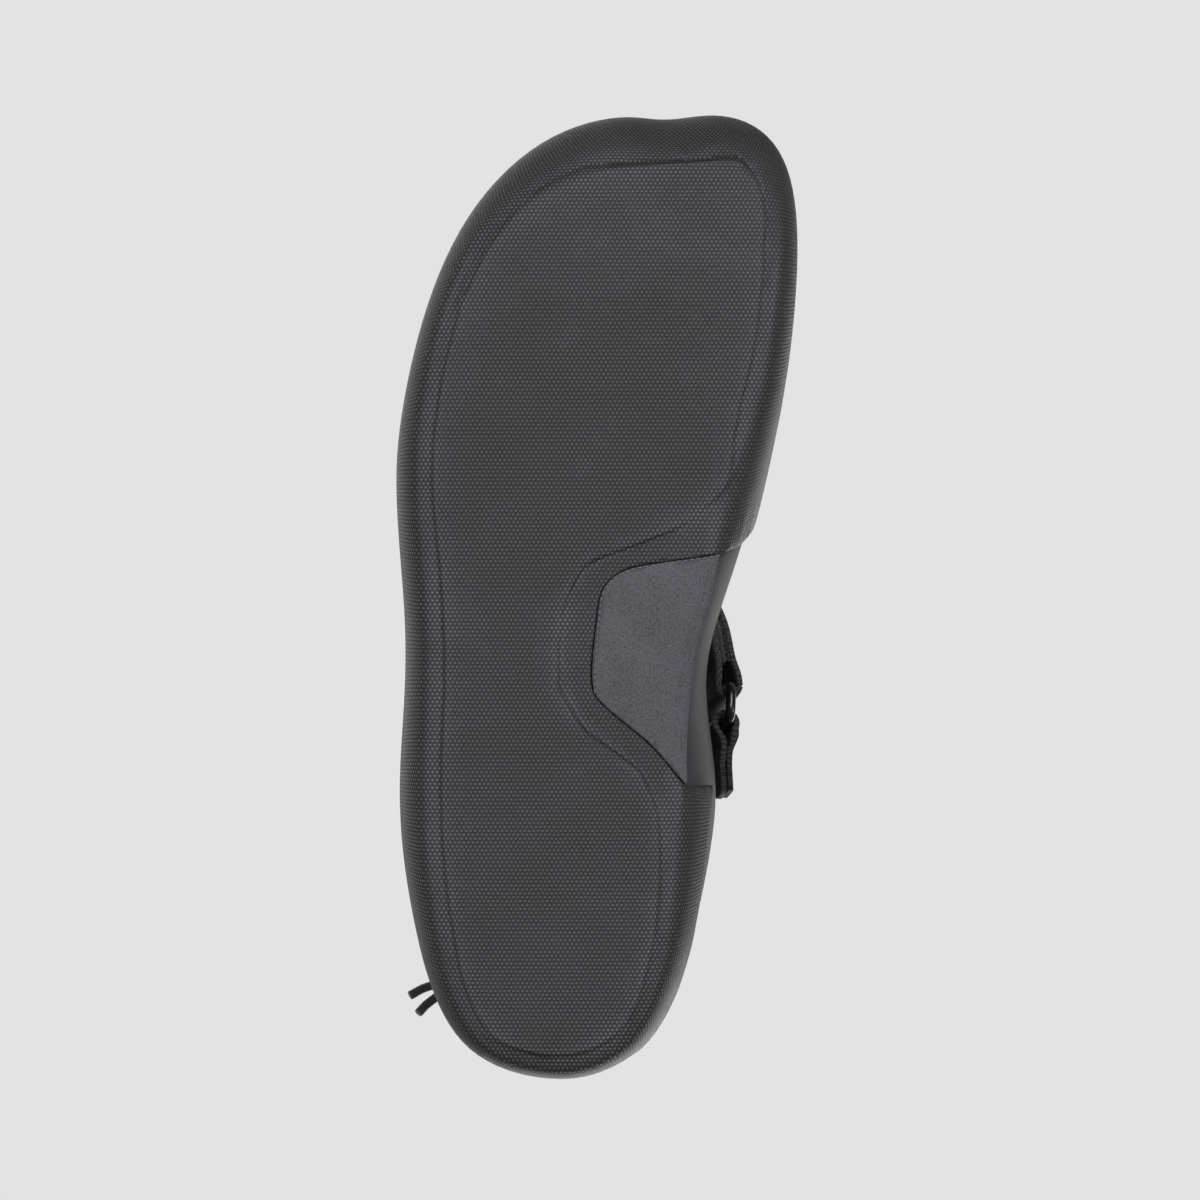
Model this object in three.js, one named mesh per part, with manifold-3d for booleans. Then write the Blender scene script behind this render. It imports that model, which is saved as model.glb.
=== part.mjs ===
// A right-foot neoprene water sports boot, in millimetres. +Z is up, +Y points to the toe and +X to the
// outer (little toe) side. The origin is the centre of the boot's box on the ground.
import * as THREE from "three";
import { mergeVertices } from "three/addons/utils/BufferGeometryUtils.js";
import Module from "manifold-3d";

const wasm = await Module();
wasm.setup();

// ---------------------------------------------------------------- driving dimensions
const CENTRE = new THREE.Vector3(3.615, 0.665, 0); // moves the outline's own axes to the centre of the box
const GAP = 0.4; // between pieces that touch
const RUBBER = 1.8; // outside of the moulded sole, measured from the neoprene
const FOAM = 3; // neoprene thickness
const SOLE_Z = 3.2; // underside of the neoprene
const THROAT = { x: 4, y: -76, z: 86, halfWidth: 35, halfLength: 50, rise: 0.26 };
const COLLAR = { x: 7, y: -84, z: 185, halfWidth: 36, halfLength: 45 };
const TOE_SPRING = { from: 80, rise: 8, length: 62 }; // the toe lifts off the ground past this line
const AROUND = 48; // facets around the boot
const WALL_ROWS = [-0.86, -0.7, -0.5, -0.25, 0.05, 0.25]; // where the facets of the side walls meet
const CENTRE_LINE = [14, -12]; // where the rings of a flat plate start from
const PLATE_RINGS = [0.35, 0.65, 0.85];

// The boot's plan from the heel, along the outer side to the toes and back along the inner side.
// Each row: x, y of the widest line, how far in from it the flat bottom starts, the widest line's height, the
// angle of the matching point on the throat, and how high the rubber wall goes (-1 edge, 0 widest, 1 throat).
const STATIONS = [
  [9.4, -142.3, 5.5, 24, 0, 0.42],
  [30.6, -136.8, 6, 23, 18, 0.38],
  [43.3, -121, 7.5, 22, 36, 0.27],
  [49.6, -99, 8.5, 21, 54, 0.14],
  [53.6, -74, 9.5, 20, 72, 0.07],
  [54.2, -50, 9.5, 20, 90, 0.06],
  [52.2, -22, 8.5, 20, 107, 0.06],
  [53.3, 4, 8.5, 20, 121, 0.06],
  [55.8, 34, 8.5, 20, 134, 0.07],
  [52.9, 60, 8, 19, 145, 0.08],
  [45.2, 90, 8, 18.5, 156, 0.1],
  [31.5, 117, 9.5, 18, 166, 0.12],
  [10.5, 136, 12, 17, 175, 0.14],
  [-11, 142, 14, 17, 181, 0.15],
  [-24, 140.3, 14, 17, 185, 0.15],
  [-38, 142.6, 13.5, 17, 190, 0.15],
  [-54, 137, 11, 17, 195, 0.14],
  [-62.2, 120, 8, 18, 200, 0.12],
  [-63, 95, 8, 19, 206, 0.1],
  [-60.4, 68, 8.5, 20, 213, 0.08],
  [-55.6, 43, 9.5, 22, 221, 0.06],
  [-49.6, 17.5, 12, 28, 230, 0.05],
  [-42, -4.5, 7.5, 36, 240, 0],
  [-37.6, -24, 8.5, 42, 251, -0.1],
  [-40.4, -46, 15, 44, 264, -0.3],
  [-41.4, -62, 15, 42, 275, -0.45],
  [-38, -84, 13, 38, 291, -0.42],
  [-32, -108, 10, 33, 309, -0.32],
  [-20.5, -130.6, 7, 28, 330, -0.05],
  [-5.6, -140, 5.5, 25, 347, 0.32],
];

// The opening in the sole under the arch, from the front corner on the side wall round to the heel corner.
const ARCH_OPENING = [
  [-50.7, 20.3],
  [-45.7, 14.6],
  [-39.8, 12.1],
  [-22.1, 9.4],
  [-11.5, 7.2],
  [-5.2, 1.8],
  [-3.2, -8.3],
  [-2, -26.6],
  [-4.4, -31.2],
  [-19.2, -43.6],
  [-29.2, -55.6],
];
// The tread's edge beside that opening, from the ball of the foot to the heel.
const TREAD_WAIST = [
  [-43.5, 36],
  [-37.5, 23.5],
  [-16.2, 16.8],
  [-3.5, 12],
  [3.4, 3],
  [6.6, -14],
  [6.4, -29],
  [-1, -40],
  [-14.7, -48.6],
  [-20.4, -58],
];

// ---------------------------------------------------------------- the foot form
const modulo = (u) => ((u % 1) + 1) % 1;
const station = (k) => STATIONS[(k + STATIONS.length) % STATIONS.length];

// The direction into the boot, square to the outline at a station.
function inward(k) {
  const [x0, y0] = station(k - 1);
  const [x1, y1] = station(k + 1);
  return new THREE.Vector3(y0 - y1, x1 - x0, 0).normalize();
}

function closedCurve(pointAt) {
  return new THREE.CatmullRomCurve3(STATIONS.map((_, k) => pointAt(k)), true, "catmullrom", 0.5);
}

function outlinePoint(k, inset, z) {
  const [x, y] = station(k);
  return new THREE.Vector3(x, y, z).addScaledVector(inward(k), inset);
}

function throatPoint(k) {
  const angle = THREE.MathUtils.degToRad(station(k)[4]);
  const y = THROAT.y - THROAT.halfLength * Math.cos(angle);
  const x = THROAT.x + THROAT.halfWidth * Math.sin(angle);
  return new THREE.Vector3(x, y, THROAT.z + THROAT.rise * (y - THROAT.y));
}

function collarPoint(k) {
  const angle = THREE.MathUtils.degToRad(station(k)[4]);
  return new THREE.Vector3(
    COLLAR.x + COLLAR.halfWidth * Math.sin(angle),
    COLLAR.y - COLLAR.halfLength * Math.cos(angle),
    COLLAR.z,
  );
}

const edgeCurve = closedCurve((k) => outlinePoint(k, RUBBER + station(k)[2], SOLE_Z));
const widestCurve = closedCurve((k) => outlinePoint(k, RUBBER, station(k)[3]));
const throatCurve = closedCurve(throatPoint);
const collarCurve = closedCurve(collarPoint);
const randCurve = closedCurve((k) => new THREE.Vector3(station(k)[5], 0, 0));

// The three stretches of the form's profile at u: sole edge to widest line, to throat, to collar.
const profiles = new Map();
function profileAt(u) {
  const key = Math.round(modulo(u) * 1e7);
  if (!profiles.has(key)) {
    const [edge, widest, throat, collar] = [edgeCurve, widestCurve, throatCurve, collarCurve].map((c) =>
      c.getPoint(modulo(u)),
    );
    const flare = new THREE.Vector3().lerpVectors(edge, widest, 0.6).setZ(SOLE_Z);
    const wall = new THREE.Vector3().lerpVectors(widest, edge, 0.12);
    wall.z = widest.z - 0.6 * (widest.z - SOLE_Z);
    const rise = throat.z - widest.z;
    const side = new THREE.Vector3().lerpVectors(widest, throat, 0.03).setZ(widest.z + 0.28 * rise);
    const slope = new THREE.Vector3().lerpVectors(throat, widest, 0.28).setZ(throat.z - 0.6 * rise);
    const ankle = throat.clone().addScaledVector(throat.clone().sub(slope), 0.45);
    const cuff = collar.clone().setZ(collar.z - 45);
    profiles.set(key, [
      new THREE.CubicBezierCurve3(edge, flare, wall, widest),
      new THREE.CubicBezierCurve3(widest, side, slope, throat),
      new THREE.CubicBezierCurve3(throat, ankle, cuff, collar),
    ]);
  }
  return profiles.get(key);
}

// A point of the form: u runs round it once, v is -1 at the sole edge, 0 widest, 1 throat and 2 collar.
function formPoint(u, v) {
  const stretch = Math.min(2, Math.max(0, Math.floor(v + 1)));
  return profileAt(u)[stretch].getPoint(v + 1 - stretch);
}

function formNormal(u, v) {
  const du = 1e-3;
  const dv = 1e-3;
  const low = Math.max(-1, v - dv);
  const high = Math.min(2, v + dv);
  const along = formPoint(u + du, v).sub(formPoint(u - du, v));
  const up = formPoint(u, high).sub(formPoint(u, low));
  return along.cross(up).normalize();
}

// A point at a height above the neoprene's outside, or below it where height is negative.
function layerPoint(u, v, height) {
  return formPoint(u, v).addScaledVector(formNormal(u, v), height);
}

// ---------------------------------------------------------------- making solids
// Merges a geometry's vertices, drops the faces that collapse at poles, moves each vertex with place and
// then by the toe spring.
function shaped(geometry, place) {
  geometry.deleteAttribute("normal");
  geometry.deleteAttribute("uv");
  const merged = mergeVertices(geometry, 1e-4);
  const old = merged.index.array;
  const kept = [];
  for (let i = 0; i < old.length; i += 3) {
    const [a, b, c] = [old[i], old[i + 1], old[i + 2]];
    if (a !== b && b !== c && a !== c) kept.push(a, b, c);
  }
  const position = merged.attributes.position;
  const point = new THREE.Vector3();
  for (let i = 0; i < position.count; i++) {
    point.fromBufferAttribute(position, i);
    const moved = place ? place(point) : point;
    const past = Math.max(0, moved.y - TOE_SPRING.from) / TOE_SPRING.length;
    position.setXYZ(i, moved.x, moved.y, moved.z + TOE_SPRING.rise * past * past);
  }
  merged.setIndex(kept);
  return volumeOf(merged) < 0 ? flipped(merged) : merged;
}

function volumeOf(geometry) {
  const [a, b, c] = [new THREE.Vector3(), new THREE.Vector3(), new THREE.Vector3()];
  const { index, attributes } = geometry;
  let sum = 0;
  for (let i = 0; i < index.count; i += 3) {
    a.fromBufferAttribute(attributes.position, index.getX(i));
    b.fromBufferAttribute(attributes.position, index.getX(i + 1));
    c.fromBufferAttribute(attributes.position, index.getX(i + 2));
    sum += a.dot(b.cross(c)) / 6;
  }
  return sum;
}

function flipped(geometry) {
  const faces = Array.from(geometry.index.array);
  for (let i = 0; i < faces.length; i += 3) [faces[i], faces[i + 1]] = [faces[i + 1], faces[i]];
  return geometry.setIndex(faces);
}

function toManifold(geometry) {
  return new wasm.Manifold(
    new wasm.Mesh({
      numProp: 3,
      vertProperties: new Float32Array(geometry.attributes.position.array),
      triVerts: new Uint32Array(geometry.index.array),
    }),
  );
}

function fromManifold(solid) {
  const mesh = solid.getMesh();
  const geometry = new THREE.BufferGeometry();
  geometry.setAttribute("position", new THREE.BufferAttribute(new Float32Array(mesh.vertProperties), 3));
  return geometry.setIndex(Array.from(mesh.triVerts));
}

// A bent slab: a grid of columns and rows, x, y and z each from -0.5 to 0.5, moved by place. Its two faces are
// split into triangles alike, so that slabs over one another stay parallel.
function slab(columns, rows, place) {
  const sheet = new THREE.PlaneGeometry(1, 1, columns, rows);
  const { position } = sheet.attributes;
  const count = position.count;
  const points = [-0.5, 0.5].flatMap((z) =>
    Array.from({ length: count }, (_, i) => [position.getX(i), position.getY(i), z]),
  );
  const rim = [];
  for (let i = 0; i < columns; i++) rim.push(i);
  for (let j = 0; j < rows; j++) rim.push(columns + j * (columns + 1));
  for (let i = columns; i > 0; i--) rim.push(rows * (columns + 1) + i);
  for (let j = rows; j > 0; j--) rim.push(j * (columns + 1));
  const top = Array.from(sheet.index.array, (i) => i + count);
  const bottom = Array.from(sheet.index.array).reverse();
  const walls = rim.flatMap((a, k) => {
    const b = rim[(k + 1) % rim.length];
    return [a + count, b + count, b, a + count, b, a];
  });
  const geometry = new THREE.BufferGeometry();
  geometry.setAttribute("position", new THREE.Float32BufferAttribute(points.flat(), 3));
  geometry.setIndex([...top, ...bottom, ...walls]);
  return shaped(geometry, place);
}

// A slab that follows the form: its u range, the v of each row, its lower and upper height, and its facets.
function panel(uRange, rows, heights, uSteps) {
  const lerp = THREE.MathUtils.lerp;
  return slab(uSteps, rows.length - 1, (p) =>
    layerPoint(
      lerp(uRange[0], uRange[1], p.x + 0.5),
      rows[Math.round((p.y + 0.5) * (rows.length - 1))],
      lerp(heights[0], heights[1], p.z + 0.5),
    ),
  );
}

// A closed ring round the boot whose section is a polygon of [v, height] corners.
function hoop(corners) {
  const radius = 100;
  const profile = [...corners, corners[0]].map(([v, height]) => new THREE.Vector2(radius + height, v * radius));
  return shaped(new THREE.LatheGeometry(profile, AROUND), (p) =>
    layerPoint(Math.atan2(p.x, p.z) / (2 * Math.PI), p.y / radius, Math.hypot(p.x, p.z) - radius),
  );
}

// The bowl of the moulded sole: a flat bottom inside the sole edge and a wall up to topAt(u).
function cup(low, high, topAt) {
  const bottom = [...PLATE_RINGS, 1];
  const outer = [...bottom, ...[...WALL_ROWS, 1].map((v) => 2 + v)];
  const profile = [
    new THREE.Vector2(0, 0),
    ...outer.map((r) => new THREE.Vector2(r, 0)),
    ...outer.toReversed().map((r) => new THREE.Vector2(r, 1)),
    new THREE.Vector2(0, 1),
  ];
  return shaped(new THREE.LatheGeometry(profile, AROUND), (p) => {
    const u = modulo(Math.atan2(p.x, p.z) / (2 * Math.PI));
    const reach = Math.hypot(p.x, p.z);
    const height = p.y > 0.5 ? low : high;
    const row = WALL_ROWS.filter((v) => v + 2 < reach - 0.01).length;
    const below = 0.012 * (WALL_ROWS.length - row);
    if (reach > 1.01) return layerPoint(u, Math.min(reach - 2, topAt(u) - below), height);
    const centre = new THREE.Vector3(...CENTRE_LINE, SOLE_Z);
    return centre.lerp(edgeCurve.getPoint(u), reach).setZ(SOLE_Z - height);
  });
}

// A flat plate whose outline is a function of u, built in rings so that it can follow the toe spring.
function plate(centre, outlineAt, low, high) {
  const profile = [
    new THREE.Vector2(0, 0),
    ...PLATE_RINGS.map((r) => new THREE.Vector2(r, 0)),
    new THREE.Vector2(1, 0),
    new THREE.Vector2(2, 1),
    ...PLATE_RINGS.toReversed().map((r) => new THREE.Vector2(r, 1)),
    new THREE.Vector2(0, 1),
  ];
  return shaped(new THREE.LatheGeometry(profile, AROUND), (p) => {
    const u = modulo(Math.atan2(p.x, p.z) / (2 * Math.PI));
    const reach = Math.hypot(p.x, p.z);
    const start = new THREE.Vector3(...centre, 0);
    return start.lerp(outlineAt(u), Math.min(reach, 1)).setZ(p.y > 0.5 ? high : low);
  });
}

function prism(points, low, high) {
  const shape = new THREE.Shape(points.map(([x, y]) => new THREE.Vector2(x, y)));
  const geometry = new THREE.ExtrudeGeometry(shape, { depth: high - low, bevelEnabled: false });
  geometry.translate(0, 0, low);
  return shaped(geometry);
}

// A smooth open line through a few points, as [x, y] pairs.
function smoothLine(points, steps) {
  const curve = new THREE.CatmullRomCurve3(points.map(([x, y]) => new THREE.Vector3(x, y, 0)));
  return curve.getPoints(steps).map((p) => [p.x, p.y]);
}

// The flat bottom's edge at u, moved in by inset.
function edgePoint(u, inset) {
  const ahead = edgeCurve.getTangent(u);
  return edgeCurve.getPoint(u).add(new THREE.Vector3(-ahead.y, ahead.x, 0).setLength(inset)).setZ(0);
}

// ---------------------------------------------------------------- materials
const finish = (color, roughness, metalness = 0) => new THREE.MeshStandardMaterial({ color, roughness, metalness });
const soleRubber = finish("#3f3e41", 0.6);
const archRubber = finish("#55545a", 0.55);
const neoprene = finish("#2b2b2e", 0.8);
const smoothSkin = finish("#1e1e20", 0.45);
const insoleFoam = finish("#3a3a3e", 0.9);
const webbing = finish("#26262a", 0.85);
const fleece = finish("#17171a", 0.95);
const plastic = finish("#0e0e10", 0.25);
const elastic = finish("#2f2f31", 0.7);
const steel = finish("#b8bcc0", 0.3, 1);

const boot = new THREE.Group();
boot.position.copy(CENTRE);

function add(name, geometry, material, parent = boot) {
  const mesh = new THREE.Mesh(geometry, material);
  mesh.name = name;
  parent.add(mesh);
  return mesh;
}

// ---------------------------------------------------------------- sole
const FAR = 90; // outside the boot on the inner side
const archLine = smoothLine(ARCH_OPENING, 30);
const heelCorner = ARCH_OPENING[ARCH_OPENING.length - 1];

// A flat tread inside an outline, in rows across the foot from heel to toe, with its lower edge bevelled.
function treadPlate(outline, high, bevel) {
  const points = outline.getPoints(400);
  const [heelY, toeY] = [Math.min(...points.map((p) => p.y)) + 0.5, Math.max(...points.map((p) => p.y)) - 0.5];
  const sidesAt = (y) => {
    const crossings = points.slice(1).flatMap((p, i) => {
      const before = points[i];
      const crosses = before.y <= y !== p.y <= y;
      return crosses ? [before.x + ((y - before.y) / (p.y - before.y)) * (p.x - before.x)] : [];
    });
    return [Math.min(...crossings), Math.max(...crossings)];
  };
  return slab(34, 5, (p) => {
    const inset = p.z < 0 ? bevel : 0;
    const along = (1 - Math.cos(Math.PI * (p.x + 0.5))) / 2;
    const [inner, outer] = sidesAt(THREE.MathUtils.lerp(heelY, toeY, along));
    const y = THREE.MathUtils.lerp(heelY + inset, toeY - inset, along);
    return new THREE.Vector3(THREE.MathUtils.lerp(inner + inset, outer - inset, p.y + 0.5), y, p.z < 0 ? 0 : high);
  });
}

function outsole() {
  const walls = toManifold(cup(GAP, RUBBER, (u) => randCurve.getPoint(u).x));
  const ring = Array.from({ length: 30 }, (_, k) => edgePoint(k / 30, 1.2));
  const waist = TREAD_WAIST.map(([x, y]) => new THREE.Vector3(x, y, 0));
  const ball = ring.findIndex((p) => p.x < 0 && p.y < 40 && p.y > 0);
  const heel = ring.findIndex((p, k) => k > ball && p.y < -62);
  const outline = new THREE.CatmullRomCurve3([...ring.slice(0, ball), ...waist, ...ring.slice(heel)], true);
  const tread = toManifold(treadPlate(outline, SOLE_Z - RUBBER + 0.9, 0.8));
  const opening = prism([[-FAR, 26], [-55, 24], ...archLine, [-FAR, heelCorner[1]]], -5, 70);
  return fromManifold(walls.add(tread).subtract(toManifold(opening)));
}
add("outsole", outsole(), soleRubber);

function archPanel() {
  const skin = toManifold(cup(GAP, 1.4, () => -0.8));
  const seam = [
    [-29.4, -55],
    [-33, -50],
    [-36.5, -44.5],
    [-FAR, -41],
  ];
  const region = toManifold(prism([[-FAR, 24], [-55, 22.5], ...archLine.slice(0, -1), ...seam], -5, 70));
  const moves = [[-GAP, 0, 0], [0, -GAP, 0], [0, GAP, 0]];
  return fromManifold(moves.reduce((solid, move) => solid.intersect(region.translate(move)), skin));
}
add("arch_panel", archPanel(), archRubber);
add("bottom_panel", plate(CENTRE_LINE, (u) => edgePoint(u, 0.8), SOLE_Z + 0.2, SOLE_Z + FOAM), neoprene);
const FOOTBED_Z = SOLE_Z + FOAM + 0.7;
add("footbed", plate(CENTRE_LINE, (u) => edgePoint(u, 0.8), FOOTBED_Z, FOOTBED_Z + 3.5), insoleFoam);

// ---------------------------------------------------------------- neoprene upper
const SEAM = 0.0007; // half the gap at a seam, as a fraction of the way round
const VAMP = [12 / AROUND, 33 / AROUND]; // the vamp's two side seams
const SHAFT = [9 / AROUND, 37 / AROUND]; // the shaft's two side seams
const CUFF = 1.93; // where the collar band starts
const FOOT_ROWS = [-1, ...WALL_ROWS, 0.45, 0.62, 0.74, 0.84, 0.92, 0.985];
const SHAFT_ROWS = [0.995, 1.1, 1.22, 1.36, 1.5, 1.7, CUFF - 0.01];

add("vamp", panel([VAMP[0] + SEAM, VAMP[1] - SEAM], FOOT_ROWS, [-FOAM, 0], 21), neoprene);
add("quarter_lateral", panel([SEAM, VAMP[0] - SEAM], FOOT_ROWS, [-FOAM, 0], 12), neoprene);
add("quarter_medial", panel([VAMP[1] + SEAM, 1 - SEAM], FOOT_ROWS, [-FOAM, 0], 15), neoprene);
add("shaft_front", panel([SHAFT[0] + SEAM, SHAFT[1] - SEAM], SHAFT_ROWS, [-FOAM, 0], 14), neoprene);
add("shaft_rear", panel([SHAFT[1] + SEAM, 1 + SHAFT[0] - SEAM], SHAFT_ROWS, [-FOAM, 0], 10), neoprene);
add("collar_band", hoop([[CUFF, -FOAM - 0.5], [CUFF, 0.6], [2, 0.6], [2, -FOAM - 0.5]]), webbing);

// The stitched rib inside the toe box that keeps the big toe apart.
add("toe_divider", panel([0.4635, 0.4695], [0.03, 0.12, 0.24, 0.4], [-FOAM - 6.5, -FOAM - 1.3], 1), neoprene);

// ---------------------------------------------------------------- instep strap and its ring
const STRAP = { width: 24, thickness: 1.6, lift: 3.1, rest: 0.8, length: 135 };
const BAR = { radius: 1.75, fold: 2.5, spacing: 10.5, height: 7.2 };
const strapPath = new THREE.CatmullRomCurve3(
  [
    [0.205, 0.48],
    [0.288, 0.74],
    [0.39, 0.82],
    [0.46, 0.82],
    [0.537, 0.82],
    [0.61, 0.77],
    [0.662, 0.71],
    [0.707, 0.62],
    [0.755, 0.44],
    [0.782, 0.3],
  ].map(([u, v]) => new THREE.Vector3(u, v, 0)),
);
const AT_RING = 8 / 9; // how far along that line the ring is
const smooth = THREE.MathUtils.smoothstep;

// Follows the form from (u, v) along a direction for a distance, and gives the (u, v) it reaches.
function walk(u, v, direction, distance) {
  const steps = 6;
  const d = 1e-3;
  let [a, b] = [u, v];
  for (let i = 0; i < steps; i++) {
    const du = formPoint(a + d, b).sub(formPoint(a - d, b)).divideScalar(2 * d);
    const dv = formPoint(a, b + d).sub(formPoint(a, b - d)).divideScalar(2 * d);
    const [uu, uv, vv] = [du.dot(du), du.dot(dv), dv.dot(dv)];
    const [ud, vd] = [du.dot(direction), dv.dot(direction)];
    const step = distance / steps / (uu * vv - uv * uv);
    a += (ud * vv - vd * uv) * step;
    b += (vd * uu - ud * uv) * step;
  }
  return [a, b];
}

// Where the strap's line is at t, which way it runs, and the form's normal there.
function strapFrame(t) {
  const at = (s) => strapPath.getPoint(Math.max(0, s) * AT_RING);
  const [behind, here, ahead] = [at(t - 0.01), at(t), at(t + 0.01)];
  const along = formPoint(ahead.x, ahead.y).sub(formPoint(behind.x, behind.y)).normalize();
  const normal = formNormal(here.x, here.y);
  const across = normal.clone().cross(along);
  return { u: here.x, v: here.y, point: formPoint(here.x, here.y), along, normal, across };
}

const ringFrame = strapFrame(1);
const ringPlane = (a, s, height) =>
  ringFrame.point
    .clone()
    .addScaledVector(ringFrame.along, a)
    .addScaledVector(ringFrame.across, s)
    .addScaledVector(ringFrame.normal, height);

// A point of the strap: t along it up to 1 at the ring, s across it, and how far above its underside.
function strapPoint(t, s, above) {
  const frame = strapFrame(t);
  const [u, v] = walk(frame.u, frame.v, frame.across, s);
  const height = STRAP.rest + (STRAP.lift - STRAP.rest) * smooth(t, 0.82, 0.98) + above;
  const flat = frame.point.addScaledVector(frame.across, s).addScaledVector(frame.normal, height);
  return layerPoint(u, v, height).lerp(flat, smooth(t, 0.8, 1));
}

// A point beside the ring: a past the front bar, s across, height above the neoprene.
function tabPoint(a, s, height) {
  const [u0, v0] = walk(ringFrame.u, ringFrame.v, ringFrame.along, a);
  const [u, v] = walk(u0, v0, ringFrame.across, s);
  return layerPoint(u, v, height).lerp(ringPlane(a, s, height), 1 - smooth(a, 11.5, 17));
}

// The strap lies on the boot, passes under the ring's front bar and turns back round it.
function instepStrap() {
  const turn = 0.25;
  return slab(30, 3, (p) => {
    const t = (p.x + 0.5) * (1 + turn);
    const s = p.y * STRAP.width;
    const above = (p.z + 0.5) * STRAP.thickness;
    if (t <= 1) return strapPoint(t, s, above);
    const angle = (Math.PI * (t - 1)) / turn - Math.PI / 2;
    const radius = BAR.fold + STRAP.thickness - above;
    return ringPlane(radius * Math.cos(angle), s, BAR.height + radius * Math.sin(angle));
  });
}
add("instep_strap", instepStrap(), webbing);

// A layer over the strap between two of the 24 steps along it, and between two heights above its underside.
const tailAbove = (t) => 4.6 + 2 * smooth(t, 0.9, 1);
function overStrap(from, to, low, high) {
  return slab(to - from, 3, (p) => {
    const t = Math.min(THREE.MathUtils.lerp(from, to, p.x + 0.5) / 24, 0.991);
    return strapPoint(t, p.y * STRAP.width, p.z < 0 ? low(t) : high(t));
  });
}
add("loop_patch", overStrap(12, 22, () => 1.9, () => 3.1), fleece);
add("hook_patch", overStrap(13, 22, () => 3.3, () => 4.35), plastic);
add("strap_tail", overStrap(12, 24, tailAbove, (t) => tailAbove(t) + STRAP.thickness), webbing);

function strapRing() {
  const [halfA, halfS, corner] = [BAR.spacing / 2, 14.6, 3.4];
  const path = new THREE.Path();
  const turns = [
    [halfA - corner, halfS - corner, 0],
    [corner - halfA, halfS - corner, 90],
    [corner - halfA, corner - halfS, 180],
    [halfA - corner, corner - halfS, 270],
  ];
  for (const [x, y, start] of turns) {
    const from = THREE.MathUtils.degToRad(start);
    path.absarc(x, y, corner, from, from + Math.PI / 2);
  }
  const points = path.getPoints(2).filter((p, i, all) => i === 0 || p.distanceTo(all[i - 1]) > 0.01);
  return shaped(new THREE.TorusGeometry(10, 1, 8, points.length), (p) => {
    const turn = modulo(Math.atan2(p.y, p.x) / (2 * Math.PI));
    const i = Math.round(turn * points.length) % points.length;
    const before = points[(i + points.length - 1) % points.length];
    const after = points[(i + 1) % points.length];
    const outward = new THREE.Vector2(after.y - before.y, before.x - after.x).setLength(BAR.radius);
    const across = Math.hypot(p.x, p.y) - 10;
    const [a, s] = [points[i].x + outward.x * across, points[i].y + outward.y * across];
    return ringPlane(a + BAR.spacing / 2, s, BAR.height + p.z * BAR.radius);
  });
}
add("strap_ring", strapRing(), plastic);

// A webbing tab folded round the ring's rear bar and stitched to the boot behind it.
function ringTab() {
  const middle = BAR.fold + STRAP.thickness / 2;
  const fold = [-90, -135, -180, -225, -270].map((degrees) => {
    const angle = THREE.MathUtils.degToRad(degrees);
    return [BAR.spacing + middle * Math.cos(angle), BAR.height + middle * Math.sin(angle)];
  });
  const under = [[31, 1.8], [24, 1.9], [17.5, 3.1], [13.5, 4.1]];
  const over = [[13.5, 9.2], [17, 6], [20, 4.4], [30.5, 3.8]];
  const line = [...under, ...fold, ...over];
  const path = new THREE.CatmullRomCurve3(line.map(([a, height]) => new THREE.Vector3(a, height, 0)), false);
  return slab(24, 3, (p) => {
    const at = path.getPoint(p.x + 0.5);
    const ahead = path.getTangent(p.x + 0.5);
    const off = p.z * STRAP.thickness;
    const rounding = Math.sqrt(1 - Math.max(0, (at.x - 22) / 9.8) ** 2);
    return tabPoint(at.x - ahead.y * off, p.y * 18 * rounding, at.y + ahead.x * off);
  });
}
add("ring_tab", ringTab(), webbing);

// The stitched patch that holds the strap's fixed end on the outer side.
function strapAnchor() {
  const start = strapFrame(0);
  const along = [-7, -3.6, -1, 6, 12, 17];
  const across = [-17.5, -15.4, -13, -4, 4, 13, 15.4, 17.5];
  return slab(along.length - 1, across.length - 1, (p) => {
    const i = Math.round((p.x + 0.5) * (along.length - 1));
    const j = Math.round((p.y + 0.5) * (across.length - 1));
    const raised = along[i] > -2 && Math.abs(across[j]) < 14;
    const frame = along[i] < 0 ? start : strapFrame(along[i] / STRAP.length);
    const [u0, v0] = walk(frame.u, frame.v, frame.along, Math.min(0, along[i]));
    const [u, v] = walk(u0, v0, frame.across, across[j]);
    return layerPoint(u, v, (raised ? 3.1 : 0.9) + (p.z + 0.5) * 1.3);
  });
}
add("strap_anchor", strapAnchor(), smoothSkin);

// ---------------------------------------------------------------- ankle drawcord
const CORD = { radius: 1.4, v: 1.41, height: 2.4, pitch: 2.2 };
const EXITS = [-0.004, 0.029]; // where the cord comes out of its channel, as fractions round the boot
const LOCK = new THREE.Vector3(30.6, -128.6, formPoint(0.02, CORD.v).z);
const lockRun = new THREE.Vector3(0.868, 0.496, 0).normalize();
const lockSide = new THREE.Vector3(lockRun.y, -lockRun.x, 0);

// A capped round bar through a list of points.
function tube(points, radius, sides, steps) {
  const path = new THREE.CatmullRomCurve3(points);
  path.getPointAt = path.getPoint;
  path.getTangentAt = path.getTangent;
  const frames = path.computeFrenetFrames(steps);
  return shaped(new THREE.CylinderGeometry(1, 1, 1, sides, steps), (p) => {
    const i = Math.round((p.y + 0.5) * steps);
    return path
      .getPoint(i / steps)
      .addScaledVector(frames.normals[i], p.x * radius)
      .addScaledVector(frames.binormals[i], p.z * radius);
  });
}

// Turned upright to stand on the form at (u, v), with the shape's own Y along the normal.
function standing(geometry, u, v) {
  const turn = new THREE.Quaternion().setFromUnitVectors(new THREE.Vector3(0, 1, 0), formNormal(u, v));
  return shaped(geometry, (p) => p.clone().applyQuaternion(turn).add(formPoint(u, v)));
}

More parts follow.
